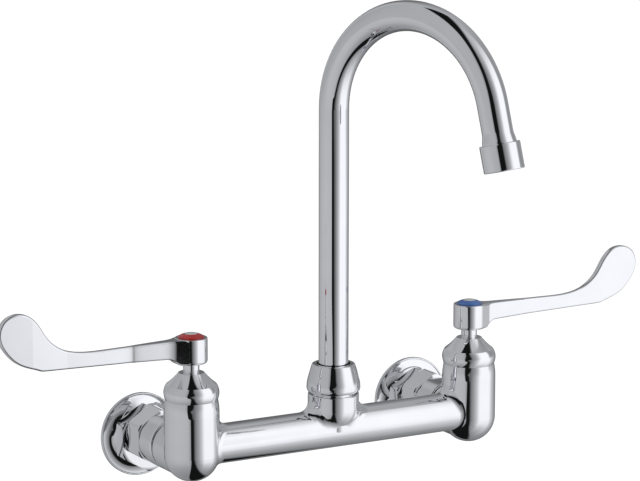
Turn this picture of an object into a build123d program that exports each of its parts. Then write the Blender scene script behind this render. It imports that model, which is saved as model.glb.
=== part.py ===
from build123d import *
import os
from math import cos, hypot, radians, sin, sqrt

# A wall-mounted bridge faucet with a swinging gooseneck spout and two lever valves.
# Origin: middle between the two wall inlets, on the wall face. X runs along the bridge,
# -Y points into the room and +Z up. Millimetres.
# Heights of the valves and the spout count from the bridge axis, the bonnet's from the valve's rim
# and the lever's from the foot of its neck.
# What lies between the wall and the valves counts its distance from the wall.

# Layout
inlet_spacing = 203.2
arm_offset = 4.0            # valve inlet above the wall inlet
shank_drop = 4.0            # valve inlet below the bridge axis
spout_turn = 19.9           # the spout as it stands, from straight ahead towards +X

# Clearances, all radial or one-sided
seat_gap = 0.1              # between a bore and the piece that screws or pushes into it
turn_gap = 0.05             # running fit of a turning shaft
film = 0.02                 # lapped or greased faces
free_gap = 0.3              # round a piece that turns without touching
same_place = 0.01           # how near a found edge lies to the one looked for

# Bridge casting
bridge_radius = 12.5
bridge_bore = 6.5
bridge_fillet = 7.0
valve_radius = 17.5
rim_radius = 16.6
rim_height = 31.1
taper_start = 22.0
inlet_boss_radius = 16.5
inlet_boss_reach = 22.0
port_bore = 6.5
spout_boss_radius = 16.4
spout_boss_height = 23.1
spout_boss_waist = 14.0      # below this the boss draws in to the bridge
spout_boss_foot = (9.8, -1.0)
spout_boss_fillet = 8.0
spout_boss_edge = 0.7
spigot_radius = 13.3
spigot_height = 33.4
socket_floor = 7.8

# Water ways round the cartridge
seat_height = 9.0
well_radius = 5.2
water_wall = 3.4            # between the inlet well and the end of the bridge bore
gallery_radius = 13.4
gallery_floor = 13.5
gallery_top = 24.0
outlet_radius = 2.6
outlet_reach = 11.8

# Cartridge
barrel_radius = 10.0
barrel_wall = 1.6
barrel_stand = 0.5
shoulder_radius = 13.2
shoulder_height = 3.3
gland_radius = 8.0
gland_height = 9.0
collar_radius = 4.95
collar_gap = 0.3            # between the top of the cartridge and the lever's neck
seal_height = 3.0
seal_bore = 6.0
disc_height = 3.6
disc_port = 2.0
disc_port_reach = 3.9
driver_height = 3.8
driver_width = 3.6
tongue_width = 2.8
tongue_depth = 1.3
window_width = 8.0
window_height = 6.0
stem_radius = 4.0
stem_flat = 3.1
stem_ring_depth = 0.85
stem_ring_width = 1.2
stem_ring_low = 5.9         # above the rim
stem_ring_pitch = 3.6

# Bonnet
bonnet_foot_radius = 16.5
bonnet_belly = (17.45, 4.7)
bonnet_brow = (15.85, 9.6)
bonnet_slope = (11.75, 13.1)
bonnet_top_radius = 8.1
bonnet_height = 17.2
bonnet_crown = 3.2
bonnet_edge = 0.5
bonnet_ceiling = 8.3

# Lever
lever_gap = 1.7             # open height between the bonnet and the neck
neck_radius = 5.13
hub_foot = 4.2
hub_top = 20.5
hub_radius = 10.3
hub_foot_edge = 2.0
hub_top_edge = 0.6
socket_depth = 14.0
stem_end_gap = 0.4
web_height = 2.2
screw_pocket = 4.4
screw_room = 0.3            # between the screw head and the index button
blade_half = 1.85
paddle_half = 2.3
blade_edge = 1.2
blade_shoulder = [(8.6, 20.3), (13.0, 20.1), (18.5, 19.95)]
paddle_outline = [
    (60.0, 19.25), (75.0, 19.6), (86.0, 22.0), (93.0, 26.0), (98.0, 31.0), (104.3, 40.6), (109.8, 45.6),
    (118.0, 47.6), (126.6, 44.0), (129.9, 35.0), (124.0, 22.4), (115.0, 15.3), (105.0, 11.7), (92.0, 10.25),
]
blade_throat = [(18.5, 8.6), (15.6, 7.9), (11.8, 5.6), (8.6, 4.35)]
cheek_lean = 29.4
cheek_length = 8.2
flare_outline = [(14.0, 4.3), (20.0, 3.6), (27.0, 3.2), (40.0, 2.25)]
flare_end = 50.0
paddle_start = (85.0, 108.0)

# Handle screw and index button
screw_head_radius = 3.9
screw_head_height = 2.4
screw_shank_radius = 1.9
screw_reach = 10.5
screw_key = 3.0
screw_key_depth = 1.4
button_radius = 8.2
button_shoulder = 0.7
button_rise = 3.0
lens_radius = 4.0

# Union nut, its clip and the shank inside
shank_radius = 11.4
shank_reach = 34.0
union_gap = 3.0             # open groove between the casting and the nut
union_length = 32.0
union_collar = 17.5
union_radius = 16.6
union_flats = 33.4
union_lip = 4.0
union_edge = 1.6
clip_thick = 1.8
clip_depth = 1.3
clip_rim = 12.8
clip_split = 5.0
thread_radius = 13.0
washer_thick = 2.0
washer_bore = 7.2
washer_radius = 12.6

# Adjustable arm and wall flange
arm_length = 39.0
arm_flats = 38.0
nut_stand = 1.8             # bare thread between the arm's hexagon and the union nut
arm_root = 6.0
arm_root_radius = 16.5
arm_bore = 7.0
supply_bore = 9.6
supply_depth = 10.5
flange_radius = 27.2
flange_bead = 1.3
flange_bead_height = 2.1
flange_dish = (20.4, 2.95)
flange_sheet = 1.2
hex_round = 1.6
hex_crown = (0.4, 1.6)       # how far in and how deep the ends of the hexagons are rounded

# Spout and its nut
tube_radius = 9.525
tube_wall = 1.2
bend_radius = 63.5
bend_height = 206.3
bend_angle = 166.2
tail_length = 23.9
tail_thread = 8.0
tail_thread_radius = 10.85
flare_radius = 10.5
flare_length = 7.0
tube_seat = 24.0
plunger_foot = 8.6
plunger_radius = 10.4
plunger_bore = 7.0
spout_ring_depth = 1.3
spout_ring_width = 1.9
spout_ring_low = 13.0
spout_ring_pitch = 6.5
slide_height = 1.0
spout_collar_radius = 13.0
spout_collar_height = 2.6
spout_nut_foot = 24.5
spout_nut_top = 42.3
spout_nut_mouth = 10.8
spout_nut_crown = 12.9
spout_nut_heel = (16.95, 25.6)
spout_nut_shoulder = (13.85, 41.7)
spout_nut_brow = (15.9, 34.8)
spout_nut_belly = (17.2, 27.4)
spout_nut_foot_radius = 16.2

# Aerator
aerator_radius = 12.5
aerator_height = 16.8
aerator_edge = 0.8
aerator_lip = 1.4
aerator_mouth = 8.9
aerator_bore = 9.8
insert_flange = 1.5
insert_wall = 1.2
insert_floor = 1.6
aerator_washer_thick = 2.0
jet_radius = 0.9
jet_pitch = 3.0

# Places that follow from the sizes above
bridge_rise = arm_offset + shank_drop
wall_reach = shank_reach + washer_thick + arm_length
valve_x = inlet_spacing / 2
barrel_bore = barrel_radius - barrel_wall
disc_radius = barrel_bore - free_gap
fixed_disc_floor = seat_height + seal_height
moving_disc_floor = fixed_disc_floor + disc_height + film
driver_floor = moving_disc_floor + disc_height
chamber_top = driver_floor + driver_height + film
gland_top = rim_height + shoulder_height + gland_height
neck_height = rim_height + bonnet_height + lever_gap
collar_top = neck_height - collar_gap
stem_bore = stem_radius + turn_gap
stem_top = neck_height + socket_depth - stem_end_gap
screw_seat = socket_depth + web_height
button_floor = screw_seat + screw_head_height + screw_room
thread_bore = thread_radius + seat_gap
nut_front = wall_reach - inlet_boss_reach - union_gap
nut_back = nut_front - union_length
clip_back = nut_front - union_lip - clip_thick
hex_front = nut_back - nut_stand
socket_bore = plunger_radius + turn_gap
collar_floor = spigot_height + slide_height + film
thread_end = tail_length + tail_thread

spout_place = Location((0, -wall_reach, bridge_rise))
spout_tilt = spout_place * Rot(0, 0, spout_turn)
bend = radians(bend_angle)
tail_place = Pos(0, -bend_radius * (1 - cos(bend)), bend_height + bend_radius * sin(bend)) * Rot(bend_angle, 0, 0)


def valve_place(side):
    return Location((side * valve_x, -wall_reach, bridge_rise))


def wall_place(side, lift=0.0):
    """Axis out of the wall at one inlet, with local Y up."""
    return Location((side * valve_x, 0, lift)) * Rot(90, 0, 0)


def rod(radius, low, high):
    return Pos(0, 0, low) * Cylinder(radius, high - low, align=(Align.CENTER, Align.CENTER, Align.MIN))


def ring(radius, bore, low, high):
    return rod(radius, low, high) - rod(bore, low, high)


def block(length, width, low, high):
    return Pos(0, 0, low) * Box(length, width, high - low, align=(Align.CENTER, Align.CENTER, Align.MIN))


def turned(*edges):
    """Turns a closed outline of radius and height about the Z axis."""
    return revolve(make_face([Plane.XZ * edge for edge in edges]), Axis.Z)


def chain(*points):
    """Straight edges from point to point."""
    return [Line(start, end) for start, end in zip(points, points[1:])]


def hexagon(flats, low, high):
    """A cast hexagon with a corner up, its corners rounded and its ends crowned."""
    flat = flats / 2
    corner = (flat - hex_round) * 2 / sqrt(3) + hex_round
    plan = Rot(0, 0, 30) * RegularPolygon(flat, 6, major_radius=False)
    prism = Pos(0, 0, low) * extrude(fillet(plan.vertices(), hex_round), high - low)
    inset, depth = hex_crown
    foot = EllipticalCenterArc((flat - inset, low + depth), corner - flat + inset, depth, -90, arc_size=90)
    head = EllipticalCenterArc((flat - inset, high - depth), corner - flat + inset, depth, 0, arc_size=90)
    wall = chain((corner, low + depth), (corner, high - depth))
    rest = chain((flat - inset, high), (0, high), (0, low), (flat - inset, low))
    return prism & turned(foot, *wall, head, *rest)


def circles_at(body, radius, height):
    """The circular edges of one radius at one height."""
    found = body.edges().filter_by(GeomType.CIRCLE)
    return [edge for edge in found if hypot(edge.radius - radius, edge.arc_center.Z - height) < same_place]


def edges_on_bridge(body, reach):
    """The curved edges that lie on the bridge's skin within a reach of the middle, outermost left out."""
    found = []
    for edge in body.edges():
        points = [edge.position_at(step / 4) for step in range(5)]
        on_skin = all(abs(hypot(point.Y, point.Z) - bridge_radius) < same_place for point in points)
        if on_skin and edge.geom_type != GeomType.LINE and abs(edge.center().X) < reach:
            found.append(edge)
    return found


# The bridge casting


def valve_outside():
    """A barrel with a ball foot, drawn in a little at the rim."""
    foot = CenterArc((0, -shank_drop), valve_radius, -90, 90)
    taper = TangentArc((valve_radius, taper_start), (rim_radius, rim_height), tangent=(0, 1))
    wall = chain((valve_radius, -shank_drop), (valve_radius, taper_start))
    rest = chain((rim_radius, rim_height), (0, rim_height), (0, -shank_drop - valve_radius))
    return turned(foot, *wall, taper, *rest)


def spout_boss():
    """A barrel on the middle of the bridge, whose foot draws in to the bridge's front and back."""
    waist = (spout_boss_radius, spout_boss_waist)
    draw_in = Spline(waist, spout_boss_foot, tangents=((0, -1), (-0.6, -1)))
    rest = chain(waist, (spout_boss_radius, spout_boss_height), (0, spout_boss_height), (0, spout_boss_foot[1]),
                 spout_boss_foot)
    return turned(draw_in, *rest)


def casting_outside():
    tube = Rot(0, 90, 0) * Cylinder(bridge_radius, inlet_spacing)
    body = tube + Pos(-valve_x, 0, 0) * valve_outside() + Pos(valve_x, 0, 0) * valve_outside()
    body = fillet(edges_on_bridge(body, valve_x), bridge_fillet)
    body += spout_boss()
    body = fillet(edges_on_bridge(body, spout_boss_radius + bridge_radius), spout_boss_fillet)
    body = fillet(circles_at(body, spout_boss_radius, spout_boss_height), spout_boss_edge)
    return body


def shank():
    """The inlet boss and the grooved shank behind it, counted from the valve axis towards the wall."""
    groove = wall_reach - clip_back
    body = rod(inlet_boss_radius, 0, inlet_boss_reach) + rod(shank_radius, 0, shank_reach)
    return body - ring(shank_radius + 1, shank_radius - clip_depth, groove - clip_thick - seat_gap, groove + seat_gap)


def valve_hollow():
    """The cartridge bore with its seat, and the water chamber round the cartridge."""
    bore = rod(barrel_radius + seat_gap, seat_height, rim_height)
    return bore + rod(gallery_radius, gallery_floor, gallery_top) + rod(well_radius, -shank_drop, seat_height)


def bridge_body():
    body = casting_outside() + rod(spigot_radius, 0, spigot_height)
    towards_wall = Pos(0, 0, -shank_drop) * Rot(-90, 0, 0)
    for side in (-1, 1):
        body += Pos(side * valve_x, 0, 0) * towards_wall * shank()
    for side in (-1, 1):
        at_valve = Pos(side * valve_x, 0, 0)
        body -= at_valve * valve_hollow()
        body -= at_valve * towards_wall * rod(port_bore, 0, shank_reach)
        body -= Pos(side * (valve_x - outlet_reach), 0, 0) * rod(outlet_radius, 0, gallery_floor + outlet_radius)
    waterway = 2 * (valve_x - well_radius - water_wall)
    body -= Rot(0, 90, 0) * Cylinder(bridge_bore, waterway)
    body -= rod(socket_bore, socket_floor, spigot_height) + rod(plunger_bore, 0, socket_floor)
    return spout_place * body


# Cartridge and bonnet


def cartridge_body():
    foot = seat_height + barrel_stand
    body = rod(barrel_radius, foot, rim_height) + rod(shoulder_radius, rim_height, rim_height + shoulder_height)
    body += rod(gland_radius, rim_height, gland_top) + rod(collar_radius, rim_height, collar_top)
    body -= rod(barrel_bore, foot, chamber_top) + rod(stem_bore, chamber_top, collar_top)
    window = block(2 * gallery_radius, window_width, chamber_top - window_height, chamber_top)
    return body - window


def ports(low, high):
    pair = Pos(disc_port_reach, 0, 0) * rod(disc_port, low, high)
    return pair + Pos(-disc_port_reach, 0, 0) * rod(disc_port, low, high)


def fixed_disc():
    low, high = fixed_disc_floor, fixed_disc_floor + disc_height
    return rod(disc_radius, low, high) - ports(low, high)


def moving_disc():
    """Shut at rest: its ports lie a quarter turn away from the fixed disc's."""
    low, high = moving_disc_floor, driver_floor
    body = rod(disc_radius, low, high) - Rot(0, 0, 90) * ports(low, high)
    return body - block(2 * disc_radius, tongue_width + 2 * seat_gap, high - tongue_depth - seat_gap, high)


def seat_seal():
    return ring(barrel_bore - seat_gap, seal_bore, seat_height, fixed_disc_floor)


def double_flat(radius, flat, low, high):
    return rod(radius, low, high) & block(2 * radius, 2 * flat, low, high)


def stem():
    """Driver with a tongue below, a shaft with two ring grooves, and a flatted end for the lever."""
    driver = rod(disc_radius, driver_floor, driver_floor + driver_height)
    driver &= block(2 * disc_radius, driver_width, driver_floor, driver_floor + driver_height)
    tongue = rod(disc_radius, driver_floor - tongue_depth, driver_floor)
    tongue &= block(2 * disc_radius, tongue_width, driver_floor - tongue_depth, driver_floor)
    body = driver + tongue + rod(stem_radius, driver_floor, neck_height)
    body += double_flat(stem_radius, stem_flat, neck_height, stem_top)
    for height in stem_ring_heights():
        low, high = height - stem_ring_width / 2, height + stem_ring_width / 2
        body -= ring(stem_radius + 1, stem_radius - stem_ring_depth, low, high)
    return body - rod(screw_shank_radius, neck_height + socket_depth - screw_reach - 1, stem_top)


def stem_ring_heights():
    return [rim_height + stem_ring_low, rim_height + stem_ring_low + stem_ring_pitch]


def packing_rings(inner, outer, heights):
    """Round-section rings that fill a groove up to the bore, short of both by the film."""
    section = (outer - inner) / 2 - film
    return Compound([Pos(0, 0, height) * Torus((inner + outer) / 2, section) for height in heights])


def bonnet():
    """Counted from the rim."""
    belly = ThreePointArc((bonnet_foot_radius, 0), bonnet_belly, bonnet_brow)
    slope = ThreePointArc(bonnet_brow, bonnet_slope, (bonnet_top_radius, bonnet_height))
    rest = chain((bonnet_top_radius, bonnet_height), (0, bonnet_height), (0, 0), (bonnet_foot_radius, 0))
    body = turned(belly, slope, *rest)
    body = fillet(circles_at(body, bonnet_top_radius, bonnet_height), bonnet_edge)
    inside = shoulder_radius + seat_gap
    crown = bonnet_height - bonnet_crown
    top = gland_radius + seat_gap
    body -= turned(*chain((0, 0), (inside, 0), (inside, bonnet_ceiling), (top, crown), (0, crown), (0, 0)))
    return body - rod(collar_radius + seat_gap, 0, bonnet_height)


# Lever, its screw and the index button, counted from the foot of the neck


def hub():
    foot = hub_radius - hub_foot_edge
    low_edge = RadiusArc((foot, hub_foot), (hub_radius, hub_foot + hub_foot_edge), -hub_foot_edge)
    high_edge = RadiusArc((hub_radius, hub_top - hub_top_edge), (hub_radius - hub_top_edge, hub_top), -hub_top_edge)
    wall = chain((hub_radius, hub_foot + hub_foot_edge), (hub_radius, hub_top - hub_top_edge))
    rest = chain((hub_radius - hub_top_edge, hub_top), (0, hub_top), (0, 0), (neck_radius, 0),
                 (neck_radius, hub_foot), (foot, hub_foot))
    return turned(low_edge, *wall, high_edge, *rest)


def blade():
    """An upright blade with cheeks that leave the hub at a tangent, swept up into a paddle at its end."""
    root = hub_radius / 2
    shoulder = Spline(*blade_shoulder, tangents=((1, 0), (1, -0.02)))
    sweep_up = Spline(*paddle_outline, tangents=((1, -0.02), (-1, -0.01)))
    throat = Spline(*blade_throat, tangents=((-1, -0.01), (-1, 0)))
    top = chain(blade_shoulder[-1], paddle_outline[0])
    foot = chain(paddle_outline[-1], blade_throat[0])
    inside = chain(blade_throat[-1], (root, blade_throat[-1][1]), (root, blade_shoulder[0][1]), blade_shoulder[0])
    outline = [shoulder, *top, sweep_up, *foot, throat, *inside]
    side_view = extrude(make_face([Plane.XZ * edge for edge in outline]), hub_radius, both=True)

    lean = radians(cheek_lean)
    touch = ((hub_radius - film) * sin(lean), (hub_radius - film) * cos(lean))
    cheek_end = (touch[0] + cheek_length * cos(lean), touch[1] - cheek_length * sin(lean))
    flare = Spline(cheek_end, *flare_outline, (flare_end, blade_half), tangents=((cos(lean), -sin(lean)), (1, 0)))
    reach = max(point[0] for point in paddle_outline) + 1
    edge = chain((flare_end, blade_half), (paddle_start[0], blade_half), (paddle_start[1], paddle_half),
                 (reach, paddle_half))
    half = [*chain(touch, cheek_end), flare, *edge]
    across = chain(touch, (touch[0], -touch[1]))
    end = chain((reach, paddle_half), (reach, -paddle_half))
    plan = make_face([*half, *[mirror(part, Plane.XZ) for part in half], *across, *end])
    body = side_view & extrude(plan, hub_top * 3)
    rims = [rim for rim in body.edges() if rim.bounding_box().size.X > 2 * blade_half]
    return fillet(rims, blade_edge)


def lever(side):
    body = hub() + blade()
    body -= double_flat(stem_radius + turn_gap, stem_flat + turn_gap, 0, socket_depth)
    body -= rod(screw_shank_radius + seat_gap, socket_depth, screw_seat) + rod(screw_pocket, screw_seat, button_floor)
    body -= rod(button_radius + seat_gap, button_floor, hub_top)
    return Rot(0, 0, 90 * (1 - side)) * body


def handle_screw():
    top = screw_seat + screw_head_height
    body = rod(screw_head_radius, screw_seat, top)
    body += rod(screw_shank_radius - film, socket_depth - screw_reach, screw_seat)
    key = extrude(RegularPolygon(screw_key / 2, 6, major_radius=False), screw_key_depth)
    return body - Pos(0, 0, top - screw_key_depth) * key


def button_form():
    low = button_floor + film
    rim = hub_top + button_shoulder
    sagitta = button_rise - button_shoulder
    crown = (button_radius**2 + sagitta**2) / (2 * sagitta)
    dome = RadiusArc((0, rim + sagitta), (button_radius, rim), crown)
    return turned(dome, *chain((button_radius, rim), (button_radius, low), (0, low), (0, rim + sagitta)))


def index_ring():
    return button_form() - rod(lens_radius + film, 0, hub_top + 2 * button_rise)


def index_lens():
    return button_form() & rod(lens_radius, 0, hub_top + 2 * button_rise)


# Between the valves and the wall, counted from the wall


def union_nut():
    collar_back = nut_front - union_collar
    body = rod(union_radius, collar_back, nut_front)
    body = fillet(circles_at(body, union_radius, nut_front), union_edge)
    body += hexagon(union_flats, nut_back, collar_back + hex_crown[1])
    body -= rod(thread_bore, nut_back, nut_front - union_lip)
    return body - rod(shank_radius + seat_gap, nut_back, nut_front)


def union_clip():
    """Split spring clip in the shank's groove, behind the nut's lip."""
    body = ring(clip_rim, shank_radius - clip_depth + film, clip_back, clip_back + clip_thick - film)
    return body - Pos(0, -clip_rim, clip_back) * Box(clip_split, 2 * clip_rim, 2 * clip_thick)


def inlet_washer():
    return ring(washer_radius, washer_bore, arm_length, arm_length + washer_thick)


def inlet_arm():
    """Offset arm: a hexagon on the wall inlet's axis and a threaded neck a step above it."""
    body = rod(arm_root_radius, 0, arm_root) + hexagon(arm_flats, arm_root, hex_front)
    body += Pos(0, arm_offset, 0) * rod(thread_radius, (arm_root + hex_front) / 2, arm_length)
    body -= Pos(0, arm_offset, 0) * rod(arm_bore, arm_root, arm_length)
    return body - rod(supply_bore, 0, supply_depth)


def wall_flange():
    """Bell-mouthed flange with a beaded rim; its lip bears on the back of the arm's hexagon."""
    shoulder = flange_bead_height - flange_bead / 2
    inner = flange_radius - flange_bead
    lip = arm_root
    hole = arm_root_radius + seat_gap
    bead = ThreePointArc((flange_radius, shoulder), (flange_radius - flange_bead / 2, flange_bead_height), (inner, shoulder))
    dish = ThreePointArc((inner, shoulder), flange_dish, (hole, lip))
    under = ThreePointArc((hole, lip - flange_sheet), (flange_dish[0], flange_dish[1] - flange_sheet),
                          (inner, shoulder - flange_sheet))
    rest = chain((inner, shoulder - flange_sheet), (inner, 0), (flange_radius, 0), (flange_radius, shoulder))
    return turned(bead, dish, *chain((hole, lip), (hole, lip - flange_sheet)), under, *rest)


# Spout


def spout_tube():
    bore = tube_radius - tube_wall
    riser = ring(tube_radius, bore, tube_seat + film, bend_height)
    section = Pos(0, 0, bend_height) * (Circle(tube_radius) - Circle(bore))
    arch = revolve(section, Axis((0, -bend_radius, bend_height), (1, 0, 0)), bend_angle)
    flare = Spline((tube_radius, tail_length - flare_length), (flare_radius, tail_length), tangents=((0, 1), (0, 1)))
    rest = chain((flare_radius, tail_length), (tail_thread_radius, tail_length), (tail_thread_radius, thread_end),
                 (bore, thread_end), (bore, 0), (tube_radius, 0), (tube_radius, tail_length - flare_length))
    return riser + arch + tail_place * turned(flare, *rest)


def spout_ring_heights():
    return [spout_ring_low, spout_ring_low + spout_ring_pitch]


def spout_ferrule():
    """Sleeve on the foot of the tube: a plunger with two ring grooves and a collar under the nut."""
    top = collar_floor + spout_collar_height
    body = rod(plunger_radius, plunger_foot, collar_floor) + rod(spout_collar_radius, collar_floor, top)
    body -= rod(plunger_bore, plunger_foot, tube_seat) + rod(tube_radius + film, tube_seat, top)
    for height in spout_ring_heights():
        low, high = height - spout_ring_width / 2, height + spout_ring_width / 2
        body -= ring(plunger_radius + 1, plunger_radius - spout_ring_depth, low, high)
    return body


def spout_nut():
    shoulder = spout_nut_shoulder
    foot_edge = ThreePointArc((spout_nut_foot_radius, spout_nut_foot), spout_nut_heel, spout_nut_belly)
    skirt = Spline(spout_nut_belly, spout_nut_brow, shoulder, tangents=((0, 1), (-0.33, 1)))
    crown = TangentArc((spout_nut_crown, spout_nut_top), shoulder, tangent=(1, 0))
    rest = chain((spout_nut_crown, spout_nut_top), (0, spout_nut_top), (0, spout_nut_foot),
                 (spout_nut_foot_radius, spout_nut_foot))
    body = turned(foot_edge, skirt, crown, *rest)
    ceiling = collar_floor + spout_collar_height + seat_gap
    body -= rod(spigot_radius + seat_gap, spout_nut_foot, ceiling)
    return body - rod(spout_nut_mouth, ceiling, spout_nut_top)


def slide_washer():
    return ring(spout_collar_radius, socket_bore + free_gap, spigot_height, spigot_height + slide_height)


# Aerator, counted along the tail of the spout


def aerator_housing():
    top = tail_length
    end = top + aerator_height
    seat = thread_end + aerator_washer_thick + insert_flange + 2 * film
    body = rod(aerator_radius, top, end)
    body = fillet(body.edges().filter_by(GeomType.CIRCLE), aerator_edge)
    body -= rod(tail_thread_radius + seat_gap, top, seat)
    body -= rod(aerator_bore, seat, end - aerator_lip)
    return body - rod(aerator_mouth, seat, end)


def aerator_washer():
    low = thread_end + film
    return ring(tail_thread_radius - seat_gap, tube_radius - tube_wall, low, low + aerator_washer_thick)


def aerator_insert():
    """Flanged cup with rings of jets through its floor."""
    top = thread_end + aerator_washer_thick + 2 * film
    end = tail_length + aerator_height - aerator_lip - film
    outer = aerator_bore - seat_gap
    body = rod(tail_thread_radius - seat_gap, top, top + insert_flange) + rod(outer, top, end)
    body -= rod(outer - insert_wall, top, end - insert_floor)
    jets = [rod(jet_radius, end - insert_floor, end)]
    for turn in (1, 2):
        jets += [jet for jet in PolarLocations(turn * jet_pitch, 6 * turn) * rod(jet_radius, end - insert_floor, end)]
    for jet in jets:
        body -= jet
    return body


# Everything is placed and written out


def valve_parts(side):
    place = valve_place(side)
    top = place * Pos(0, 0, rim_height)
    neck = place * Pos(0, 0, neck_height)
    wall = wall_place(side)
    nut_axis = wall_place(side, arm_offset)
    quarter = Rot(0, 0, 90 * (1 - side))
    return {
        "bonnet": top * bonnet(),
        "cartridge_body": place * cartridge_body(),
        "fixed_disc": place * fixed_disc(),
        "moving_disc": place * moving_disc(),
        "seat_seal": place * seat_seal(),
        "stem": place * stem(),
        "stem_rings": place * packing_rings(stem_radius - stem_ring_depth, stem_bore, stem_ring_heights()),
        "lever": neck * lever(side),
        "handle_screw": neck * quarter * handle_screw(),
        "index_ring": neck * index_ring(),
        "index_lens": neck * index_lens(),
        "union_nut": nut_axis * union_nut(),
        "union_clip": nut_axis * union_clip(),
        "inlet_washer": nut_axis * inlet_washer(),
        "inlet_arm": wall * inlet_arm(),
        "wall_flange": wall * wall_flange(),
    }


def spout_parts():
    groove = plunger_radius - spout_ring_depth
    return {
        "bridge_body": bridge_body(),
        "spout_nut": spout_place * spout_nut(),
        "slide_washer": spout_place * slide_washer(),
        "spout_tube": spout_tilt * spout_tube(),
        "spout_ferrule": spout_place * spout_ferrule(),
        "spout_rings": spout_place * packing_rings(groove, socket_bore, spout_ring_heights()),
        "aerator_housing": spout_tilt * tail_place * aerator_housing(),
        "aerator_washer": spout_tilt * tail_place * aerator_washer(),
        "aerator_insert": spout_tilt * tail_place * aerator_insert(),
    }


os.makedirs("parts", exist_ok=True)
parts = spout_parts()
for name, side in (("hot", -1), ("cold", 1)):
    parts.update({f"{name}_{piece}": solid for piece, solid in valve_parts(side).items()})
for name, solid in parts.items():
    export_step(solid, f"parts/{name}.step")
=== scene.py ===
from math import cos, degrees, pi, radians, sin
import bmesh
import bpy
from mathutils import Matrix, Vector


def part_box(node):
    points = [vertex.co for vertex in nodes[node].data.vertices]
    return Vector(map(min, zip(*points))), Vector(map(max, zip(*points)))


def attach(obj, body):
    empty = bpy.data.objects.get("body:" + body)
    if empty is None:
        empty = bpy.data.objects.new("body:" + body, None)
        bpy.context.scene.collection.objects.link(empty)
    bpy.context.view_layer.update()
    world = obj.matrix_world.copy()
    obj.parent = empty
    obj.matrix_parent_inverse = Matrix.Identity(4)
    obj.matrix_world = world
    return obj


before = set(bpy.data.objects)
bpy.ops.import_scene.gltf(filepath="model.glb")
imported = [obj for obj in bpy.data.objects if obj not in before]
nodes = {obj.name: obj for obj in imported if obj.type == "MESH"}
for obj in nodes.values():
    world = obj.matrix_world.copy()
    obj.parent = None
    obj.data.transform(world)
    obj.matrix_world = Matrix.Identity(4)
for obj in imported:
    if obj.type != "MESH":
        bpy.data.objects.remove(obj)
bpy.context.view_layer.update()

# Wall-mounted bridge faucet: the finish of every piece, the threads, the studio and the camera.
# Metres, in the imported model's frame: +Z up, the wall at y = 0, the room towards -Y.

scene = bpy.context.scene
mm = 0.001


# Node helpers

nodeGap = 220                       # between nodes in the shader editor


def addNode(tree, kind, **settings):
    # Each setting is one of the node's inputs or, where it has none of that name, a property
    node = tree.nodes.new(kind)
    node.location = (-nodeGap * len(tree.nodes), 0)
    for key, value in settings.items():
        if key in node.inputs:
            node.inputs[key].default_value = value
        else:
            setattr(node, key, value)
    return node


def newMaterial(name):
    material = bpy.data.materials.new(name)
    material.use_nodes = True
    tree = material.node_tree
    tree.nodes.clear()
    output = addNode(tree, "ShaderNodeOutputMaterial")
    shader = addNode(tree, "ShaderNodeBsdfPrincipled")
    tree.links.new(shader.outputs["BSDF"], output.inputs["Surface"])
    return material, tree, shader


def noise(tree, scale, detail=3.0, stretch=None):
    place = addNode(tree, "ShaderNodeTexCoord")
    source = place.outputs["Object"]
    if stretch:
        mapping = addNode(tree, "ShaderNodeMapping", Scale=stretch)
        tree.links.new(source, mapping.inputs["Vector"])
        source = mapping.outputs["Vector"]
    field = addNode(tree, "ShaderNodeTexNoise", Scale=scale, Detail=detail)
    tree.links.new(source, field.inputs["Vector"])
    return field.outputs["Fac"]


def spread(tree, value, low, high, fromLow=0.3, fromHigh=0.7):
    # low to high over the range of a noise, unless another range is given
    node = addNode(tree, "ShaderNodeMapRange")
    for socket, number in (("From Min", fromLow), ("From Max", fromHigh), ("To Min", low), ("To Max", high)):
        node.inputs[socket].default_value = number
    tree.links.new(value, node.inputs["Value"])
    return node.outputs["Result"]


def mixColours(tree, factor, first, second):
    # first and second are plain colours or what other nodes give
    node = addNode(tree, "ShaderNodeMix", data_type="RGBA")
    sockets = [socket for socket in node.inputs if socket.type == "RGBA"]
    for socket, colour in zip(sockets, (first, second)):
        if isinstance(colour, tuple):
            socket.default_value = (*colour, 1)
        else:
            tree.links.new(colour, socket)
    tree.links.new(factor, node.inputs["Factor"])
    return [socket for socket in node.outputs if socket.type == "RGBA"][0]


def bump(tree, height, distance, normal=None, strength=1.0):
    node = addNode(tree, "ShaderNodeBump", Distance=distance, Strength=strength)
    tree.links.new(height, node.inputs["Height"])
    if normal:
        tree.links.new(normal, node.inputs["Normal"])
    return node.outputs["Normal"]


# Finishes

chromeLook = {
    "bright": (0.915, 0.922, 0.938),
    "dull": (0.885, 0.893, 0.912),
    "cloudScale": 60.0,
    "grainScale": 1400.0,
    "grainDepth": 0.0000012,
    "roughSpread": (1.3, 0.8),      # times the roughness, where the cloud is low and where it's high
}


def chrome(name, roughness, waveLength, waveDepth):
    material, tree, shader = newMaterial(name)
    shader.inputs["Metallic"].default_value = 1.0
    clouds = noise(tree, chromeLook["cloudScale"])
    colour = mixColours(tree, spread(tree, clouds, 0, 1), chromeLook["dull"], chromeLook["bright"])
    tree.links.new(colour, shader.inputs["Base Color"])
    rougher, smoother = [roughness * share for share in chromeLook["roughSpread"]]
    tree.links.new(spread(tree, clouds, rougher, smoother), shader.inputs["Roughness"])
    waves = bump(tree, noise(tree, 1 / waveLength, 1.0), waveDepth)
    grain = bump(tree, noise(tree, chromeLook["grainScale"], 2.0), chromeLook["grainDepth"], waves)
    tree.links.new(grain, shader.inputs["Normal"])
    return material


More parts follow.
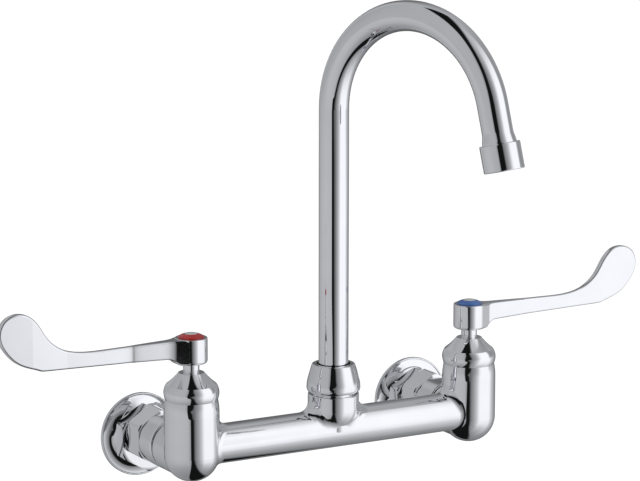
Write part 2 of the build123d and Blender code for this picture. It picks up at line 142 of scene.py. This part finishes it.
brassLook = {
    "bright": (0.80, 0.62, 0.33),
    "dull": (0.62, 0.45, 0.21),
    "tarnishScale": 180.0,
    "roughness": (0.30, 0.16),
    "turningScale": 900.0,
    "turningStretch": (1, 1, 6),
    "turningDepth": 0.000008,
    "plated": (0.90, 0.90, 0.91),
    "platedFrom": 0.0535,           # height above the wall inlets, where a stem's plating begins
    "platedFull": 0.0545,
}


def brass(name):
    material, tree, shader = newMaterial(name)
    shader.inputs["Metallic"].default_value = 1.0
    tarnish = noise(tree, brassLook["tarnishScale"])
    bare = mixColours(tree, spread(tree, tarnish, 0, 1), brassLook["dull"], brassLook["bright"])
    place = addNode(tree, "ShaderNodeTexCoord")
    split = addNode(tree, "ShaderNodeSeparateXYZ")
    tree.links.new(place.outputs["Object"], split.inputs["Vector"])
    plating = spread(tree, split.outputs["Z"], 0, 1, brassLook["platedFrom"], brassLook["platedFull"])
    colour = mixColours(tree, plating, bare, brassLook["plated"])
    tree.links.new(colour, shader.inputs["Base Color"])
    tree.links.new(spread(tree, tarnish, *brassLook["roughness"]), shader.inputs["Roughness"])
    turning = noise(tree, brassLook["turningScale"], 2.0, brassLook["turningStretch"])
    tree.links.new(bump(tree, turning, brassLook["turningDepth"]), shader.inputs["Normal"])
    return material


mouldedLook = {
    "coatRoughness": 0.05,
    "roughSpread": (1.15, 0.85),
    "grainShare": 8,                # grains across one cloud
}


def moulded(name, light, dark, roughness, scale, grain, coat=0.0):
    material, tree, shader = newMaterial(name)
    shader.inputs["Coat Weight"].default_value = coat
    shader.inputs["Coat Roughness"].default_value = mouldedLook["coatRoughness"]
    clouds = noise(tree, scale)
    tree.links.new(mixColours(tree, spread(tree, clouds, 0, 1), dark, light), shader.inputs["Base Color"])
    rougher, smoother = [roughness * share for share in mouldedLook["roughSpread"]]
    tree.links.new(spread(tree, clouds, rougher, smoother), shader.inputs["Roughness"])
    grains = noise(tree, scale * mouldedLook["grainShare"], 2.0)
    tree.links.new(bump(tree, grains, grain), shader.inputs["Normal"])
    return material


steelLook = {
    "bright": (0.66, 0.66, 0.65),
    "dull": (0.50, 0.50, 0.49),
    "rubScale": 700.0,
    "rubStretch": (1, 1, 9),
    "rubDepth": 0.000006,
    "roughness": (0.36, 0.22),
}


def steel(name):
    material, tree, shader = newMaterial(name)
    shader.inputs["Metallic"].default_value = 1.0
    rub = noise(tree, steelLook["rubScale"], 3.0, steelLook["rubStretch"])
    colour = mixColours(tree, spread(tree, rub, 0, 1), steelLook["dull"], steelLook["bright"])
    tree.links.new(colour, shader.inputs["Base Color"])
    tree.links.new(spread(tree, rub, *steelLook["roughness"]), shader.inputs["Roughness"])
    tree.links.new(bump(tree, rub, steelLook["rubDepth"]), shader.inputs["Normal"])
    return material


# Roughness, then the length and depth of the waves that polishing leaves
chromeKinds = {
    "casting": ("polishedCasting", 0.040, 0.022, 0.00003),
    "valve_trim": ("polishedBonnet", 0.035, 0.016, 0.00001),
    "lever_metal": ("polishedLever", 0.040, 0.024, 0.00003),
    "tube_metal": ("polishedTube", 0.030, 0.030, 0.00001),
    "inlet_metal": ("polishedInlet", 0.050, 0.014, 0.00002),
    "flange_metal": ("polishedFlange", 0.045, 0.020, 0.00002),
    "aerator_metal": ("polishedAerator", 0.030, 0.016, 0.00001),
}

# Light and dark colour, roughness, cloud scale, grain depth and coat
mouldedKinds = {
    "ceramic": ("ceramicDisc", (0.90, 0.89, 0.86), (0.84, 0.83, 0.80), 0.12, 250.0, 0.000001),
    "seals": ("blackRubber", (0.030, 0.030, 0.031), (0.017, 0.017, 0.018), 0.62, 300.0, 0.00001),
    "slip_plastic": ("whiteAcetal", (0.82, 0.81, 0.78), (0.76, 0.75, 0.72), 0.42, 220.0, 0.000004),
    "jet_plastic": ("jetPlastic", (0.62, 0.64, 0.66), (0.54, 0.56, 0.58), 0.40, 260.0, 0.000004),
    "hot_index": ("redIndex", (0.40, 0.012, 0.010), (0.29, 0.007, 0.007), 0.16, 160.0, 0.000002, 0.3),
    "cold_index": ("blueIndex", (0.042, 0.125, 0.37), (0.026, 0.090, 0.28), 0.16, 160.0, 0.000002, 0.6),
    "index_lens": ("silverIndex", (0.55, 0.57, 0.57), (0.45, 0.47, 0.47), 0.20, 420.0, 0.000003, 0.7),
}

finishes = {slot: chrome(*kind) for slot, kind in chromeKinds.items()}
finishes.update({slot: moulded(*kind) for slot, kind in mouldedKinds.items()})
finishes["brass"] = brass("machinedBrass")
finishes["screws"] = steel("stainlessScrew")
finishes["clips"] = steel("springSteel")

for node in nodes.values():
    finish = finishes[node.data.materials[0].name]
    for index in range(len(node.data.materials)):
        node.data.materials[index] = finish
print("finishes on", len(nodes), "pieces")


# Pipe threads, which the solids leave plain

pipeThread = {
    "pitch": 1.814 * mm,
    "foot": 0.44,                   # half the ridge's width at its root, as a share of the pitch
    "top": 0.07,                    # and half its flat top
    "fadeTurns": 0.4,               # over which the ridge rises from nothing at each end
    "stepsPerTurn": 48,
    "sharpFrom": radians(35),
}

armThreads = {
    "supply": {
        "root": 9.62 * mm,          # the bore's wall, from which the ridge stands inwards
        "crest": 8.75 * mm,
        "lift": 0.0,                # above the wall inlet's axis
        "span": (0.3 * mm, 10.3 * mm),      # out from the wall
        "finish": "brass",
    },
    "neck": {
        "root": 12.9 * mm,
        "crest": 13.45 * mm,
        "lift": 4.0 * mm,
        "span": (14.0 * mm, 20.0 * mm),
        "finish": "inlet_metal",
    },
}


def threadRidge(name, middle, place):
    # A helical ridge with a narrow flat top, round an axis that stands out from the wall
    root, crest, lift = place["root"], place["crest"], place["lift"]
    start, end = place["span"]
    pitch, stepsPerTurn = pipeThread["pitch"], pipeThread["stepsPerTurn"]
    foot, top = pitch * pipeThread["foot"], pitch * pipeThread["top"]
    fadeSteps = stepsPerTurn * pipeThread["fadeTurns"]
    turns = (end - start) / pitch - 1
    mesh = bmesh.new()
    rows = []
    total = int(turns * stepsPerTurn)
    for step in range(total + 1):
        turn = step / stepsPerTurn
        fade = min(1.0, step / fadeSteps, (total - step) / fadeSteps)
        along = start + pitch / 2 + turn * pitch
        angle = 2 * pi * turn
        tip = root + (crest - root) * fade
        section = ((root, -foot), (tip, -top), (tip, top), (root, foot))
        rows.append([
            mesh.verts.new((middle + radius * cos(angle), -(along + shift), lift + radius * sin(angle)))
            for radius, shift in section
        ])
    for row, after in zip(rows, rows[1:]):
        for first, second in ((0, 1), (1, 2), (2, 3), (3, 0)):
            mesh.faces.new((row[first], after[first], after[second], row[second]))
    mesh.faces.new(rows[0])
    mesh.faces.new(list(reversed(rows[-1])))
    bmesh.ops.recalc_face_normals(mesh, faces=mesh.faces)
    data = bpy.data.meshes.new(name)
    mesh.to_mesh(data)
    mesh.free()
    data.shade_smooth()
    data.set_sharp_from_angle(angle=pipeThread["sharpFrom"])
    piece = bpy.data.objects.new(name, data)
    scene.collection.objects.link(piece)
    data.materials.append(finishes[place["finish"]])
    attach(piece, "body")


for side in ("hot", "cold"):
    low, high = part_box(side + "_inlet_arm")
    middle = (low.x + high.x) / 2
    for kind, place in armThreads.items():
        threadRidge(side + "_" + kind + "_thread", middle, place)
print("pipe threads cut")


# Camera

view = {
    "azimuth": radians(-29.37),     # from straight in front, towards the left
    "elevation": radians(11.14),
    "roll": radians(0.07),
    "distance": 2.0,
    "target": (-0.00994, -0.075, 0.13081),
    "lens": 178.43,
    "sensor": 36.0,
    "nearest": 0.05,
    "farthest": 60.0,
}


def placeCamera():
    back = Vector((
        cos(view["elevation"]) * sin(view["azimuth"]),
        -cos(view["elevation"]) * cos(view["azimuth"]),
        sin(view["elevation"]),
    ))
    data = bpy.data.cameras.new("studioCamera")
    data.lens = view["lens"]
    data.sensor_width = view["sensor"]
    data.clip_start = view["nearest"]
    data.clip_end = view["farthest"]
    camera = bpy.data.objects.new("studioCamera", data)
    scene.collection.objects.link(camera)
    place = Matrix.Translation(Vector(view["target"]) + back * view["distance"])
    facing = (-back).to_track_quat("-Z", "Y").to_matrix().to_4x4()
    camera.matrix_world = place @ facing @ Matrix.Rotation(view["roll"], 4, "Z")
    scene.camera = camera


placeCamera()
print("camera placed")


# Studio: a white floor and sky, a soft lamp, and a light tent that only shows in what is polished

# The tent's brightness at each angle, in degrees. The angles around count from the camera, plus to
# the right, and heights from the level of the tent's middle.
tentLight = {
    # The wall's brightness round the tent, at and below lowBelow and at and above highAbove
    "wallLow": [
        (-180, 0.08), (-162, 0.14), (-150, 0.28), (-128, 0.42), (-94, 0.49), (-58, 0.52), (-26, 0.50),
        (-15, 0.48), (8, 0.12), (18, 0.26), (28, 0.40), (38, 0.60), (44, 0.77), (48, 0.93), (54, 1.04),
        (96, 1.04), (104, 0.92), (112, 0.66), (120, 0.54), (130, 0.40), (155, 0.16), (180, 0.08),
    ],
    "wallHigh": [
        (-180, 0.14), (-168, 0.16), (-158, 0.42), (-144, 0.45), (-134, 0.38), (-94, 0.42), (-58, 0.45),
        (-26, 0.44), (-10, 0.24), (0, 0.12), (10, 0.16), (18, 0.23), (28, 0.32), (38, 0.47), (44, 0.64),
        (50, 0.88), (58, 1.05), (92, 1.05), (96, 0.80), (102, 0.34), (116, 0.28), (130, 0.32), (155, 0.36),
        (172, 0.22), (180, 0.14),
    ],
    "lowBelow": -6.0,
    "highAbove": 2.0,
    # Share of the wall's brightness by height; the rest is the roof's and the floor's
    "wallShare": [
        (-90, 0.0), (-72, 0.04), (-62, 0.13), (-49, 0.31), (-38, 0.52), (-29, 0.77), (-18, 0.94), (-8, 1.0),
        (30, 1.0), (40, 0.88), (48, 0.68), (56, 0.42), (66, 0.14), (90, 0.0),
    ],
    "roofLevel": 0.44,
    "floorLevel": 0.24,
    "gapLevel": 0.007,
    # The dark gap in front: where it begins and where it ends, by height
    "gapFrom": [
        (-90, -22), (-68, -17), (-45, -11), (-28, -6.5), (-18, -4.5), (-12.2, -6.5), (-10, -15), (-5, -17),
        (-1.6, -18), (3, -18), (12, -16), (30, -12), (60, -11), (80, -14), (90, -16),
    ],
    "gapTo": [
        (-90, 20), (-68, 17), (-45, 14), (-28, 13), (-14, 12), (-11, 9), (-9, 8), (-5, 7), (-1.6, 1),
        (3, 12), (10, 18), (20, 15), (30, 11), (60, 10), (80, 14), (90, 16),
    ],
    "gapFromBlur": 2.0,
    "gapToBlur": 7.0,
    "gapBehind": 0.3,               # metres past the middle, beyond which there is no gap
    "edgeLift": 45,                 # keeps the gap's angles above 0 inside a ramp
    "wallTop": 2.0,                 # brightest level that the wall's ramps can hold
    "tint": (0.985, 0.995, 1.03),
}


def ramp(tree, value, stops, low, high, top=1.0):
    # A colour ramp with one grey for each stop, over values from low to high; white stands for top
    node = addNode(tree, "ShaderNodeValToRGB")
    band = node.color_ramp
    band.interpolation = "LINEAR"
    while len(band.elements) > 1:
        band.elements.remove(band.elements[-1])
    for index, (where, level) in enumerate(stops):
        position = (where - low) / (high - low)
        element = band.elements[0] if index == 0 else band.elements.new(position)
        element.position = position
        element.color = (level / top, level / top, level / top, 1)
    tree.links.new(spread(tree, value, 0, 1, low, high), node.inputs["Fac"])
    return node.outputs["Color"] if top == 1.0 else sums(tree, "MULTIPLY", node.outputs["Color"], top)


def sums(tree, operation, first, second=None, clamp=False):
    # One step of arithmetic on plain numbers or what other nodes give
    node = addNode(tree, "ShaderNodeMath", operation=operation, use_clamp=clamp)
    for socket, value in zip(node.inputs, (first, second)):
        if value is None:
            continue
        if isinstance(value, (int, float)):
            socket.default_value = value
        else:
            tree.links.new(value, socket)
    return node.outputs[0]


def blend(tree, share, first, second):
    # first where share is 0, second where it is 1
    kept = sums(tree, "MULTIPLY", sums(tree, "SUBTRACT", 1, share), first)
    return sums(tree, "ADD", kept, sums(tree, "MULTIPLY", share, second))


def gapEdge(tree, height, stops):
    # An angle by height; the ramp holds no number below 0, so it's raised there and let down here
    lift = tentLight["edgeLift"]
    raised = [(where, angle + lift) for where, angle in stops]
    return sums(tree, "SUBTRACT", ramp(tree, height, raised, -90, 90, 2.0 * lift), lift)


def tentFabric():
    material = bpy.data.materials.new("tentFabric")
    material.use_nodes = True
    tree = material.node_tree
    tree.nodes.clear()
    place = addNode(tree, "ShaderNodeTexCoord")
    turn = addNode(tree, "ShaderNodeMapping", vector_type="POINT")
    turn.inputs["Rotation"].default_value = (0, 0, -view["azimuth"])
    split = addNode(tree, "ShaderNodeSeparateXYZ")
    tree.links.new(place.outputs["Object"], turn.inputs["Vector"])
    tree.links.new(turn.outputs["Vector"], split.inputs["Vector"])
    sideways, depth, up = split.outputs
    towardsCamera = sums(tree, "MULTIPLY", depth, -1)
    around = sums(tree, "MULTIPLY", sums(tree, "ARCTAN2", sideways, towardsCamera), degrees(1))
    flatSquare = sums(tree, "ADD", sums(tree, "MULTIPLY", sideways, sideways),
                      sums(tree, "MULTIPLY", depth, depth))
    flat = sums(tree, "SQRT", flatSquare)
    height = sums(tree, "MULTIPLY", sums(tree, "ARCTAN2", up, flat), degrees(1))
    reach = sums(tree, "SQRT", sums(tree, "ADD", flatSquare, sums(tree, "MULTIPLY", up, up)))
    aside = sums(tree, "MULTIPLY", sums(tree, "ARCSINE", sums(tree, "DIVIDE", sideways, reach)), degrees(1))

    isRoof = sums(tree, "GREATER_THAN", up, 0)
    ends = blend(tree, isRoof, tentLight["floorLevel"], tentLight["roofLevel"])
    wall = blend(tree, spread(tree, height, 0, 1, tentLight["lowBelow"], tentLight["highAbove"]),
                 ramp(tree, around, tentLight["wallLow"], -180, 180, tentLight["wallTop"]),
                 ramp(tree, around, tentLight["wallHigh"], -180, 180, tentLight["wallTop"]))
    lit = blend(tree, ramp(tree, height, tentLight["wallShare"], -90, 90), ends, wall)

    pastStart = sums(tree, "SUBTRACT", aside, gapEdge(tree, height, tentLight["gapFrom"]))
    beforeEnd = sums(tree, "SUBTRACT", gapEdge(tree, height, tentLight["gapTo"]), aside)
    gap = sums(tree, "MULTIPLY", sums(tree, "DIVIDE", pastStart, tentLight["gapFromBlur"], True),
               sums(tree, "DIVIDE", beforeEnd, tentLight["gapToBlur"], True))
    gap = sums(tree, "MULTIPLY", gap, sums(tree, "GREATER_THAN", towardsCamera, -tentLight["gapBehind"]))

    glow = addNode(tree, "ShaderNodeEmission", Color=(*tentLight["tint"], 1))
    tree.links.new(blend(tree, gap, lit, tentLight["gapLevel"]), glow.inputs["Strength"])
    output = addNode(tree, "ShaderNodeOutputMaterial")
    tree.links.new(glow.outputs["Emission"], output.inputs["Surface"])
    return material


tentFrame = {
    "middle": (0.0, -0.075, 0.03),
    "radius": 2.0,
    "roofHeight": 1.2,              # above the middle
    "depth": 0.44,                  # below it
    "rings": 32,
    "segments": 64,
}


def lightTent():
    mesh = bmesh.new()
    bmesh.ops.create_uvsphere(mesh, u_segments=tentFrame["segments"], v_segments=tentFrame["rings"],
                              radius=tentFrame["radius"])
    for corner in mesh.verts:
        reach = tentFrame["roofHeight"] if corner.co.z > 0 else tentFrame["depth"]
        corner.co.z *= reach / tentFrame["radius"]
    data = bpy.data.meshes.new("lightTent")
    mesh.to_mesh(data)
    mesh.free()
    data.materials.append(tentFabric())
    shell = bpy.data.objects.new("lightTent", data)
    shell.location = tentFrame["middle"]
    scene.collection.objects.link(shell)
    shell.visible_camera = False
    shell.visible_diffuse = False
    shell.visible_shadow = False
    shell.visible_transmission = False


def backgroundRays(tree):
    # 1 for a ray that should find the plain white background
    path = addNode(tree, "ShaderNodeLightPath")
    seen = sums(tree, "MAXIMUM", path.outputs["Is Camera Ray"], path.outputs["Is Glossy Ray"])
    return sums(tree, "MAXIMUM", seen, path.outputs["Is Transmission Ray"])


skyLook = {
    "level": 0.72,                  # of the light that falls on the faucet
    "seenLevel": 1.0,
}


def whiteSky():
    world = bpy.data.worlds.new("whiteSky")
    world.use_nodes = True
    tree = world.node_tree
    tree.nodes.clear()
    background = addNode(tree, "ShaderNodeBackground", Color=(1, 1, 1, 1))
    level = spread(tree, backgroundRays(tree), skyLook["level"], skyLook["seenLevel"], 0, 1)
    tree.links.new(level, background.inputs["Strength"])
    output = addNode(tree, "ShaderNodeOutputWorld")
    tree.links.new(background.outputs["Background"], output.inputs["Surface"])
    scene.world = world


floorLook = {
    "height": -0.45,
    "size": 30.0,
    "colour": (0.86, 0.86, 0.86),
    "roughness": 0.9,
    "seenLift": 0.42,               # glow that only the camera and what is polished see
}


def paleFloor():
    half = floorLook["size"] / 2
    data = bpy.data.meshes.new("paleFloor")
    corners = [(-half, -half, 0), (half, -half, 0), (half, half, 0), (-half, half, 0)]
    data.from_pydata(corners, [], [(0, 1, 2, 3)])
    material, tree, shader = newMaterial("paleFloor")
    shader.inputs["Base Color"].default_value = (*floorLook["colour"], 1)
    shader.inputs["Roughness"].default_value = floorLook["roughness"]
    shader.inputs["Specular IOR Level"].default_value = 0.0
    shader.inputs["Emission Color"].default_value = (1, 1, 1, 1)
    lift = sums(tree, "MULTIPLY", backgroundRays(tree), floorLook["seenLift"])
    tree.links.new(lift, shader.inputs["Emission Strength"])
    data.materials.append(material)
    floor = bpy.data.objects.new("paleFloor", data)
    floor.location = (0, 0, floorLook["height"])
    scene.collection.objects.link(floor)


keyLamp = {
    "power": 9.0,
    "size": 0.9,
    "place": (0.75, -1.1, 1.35),
}


def softKey():
    data = bpy.data.lights.new("softKey", "AREA")
    data.shape = "DISK"
    data.size = keyLamp["size"]
    data.energy = keyLamp["power"]
    lamp = bpy.data.objects.new("softKey", data)
    place = Vector(keyLamp["place"])
    facing = (Vector(view["target"]) - place).to_track_quat("-Z", "Y").to_matrix().to_4x4()
    lamp.matrix_world = Matrix.Translation(place) @ facing
    scene.collection.objects.link(lamp)
    lamp.visible_glossy = False
    lamp.visible_camera = False


lightTent()
whiteSky()
paleFloor()
softKey()
scene.view_settings.view_transform = "Standard"
print("studio lit")

bpy.context.view_layer.update()
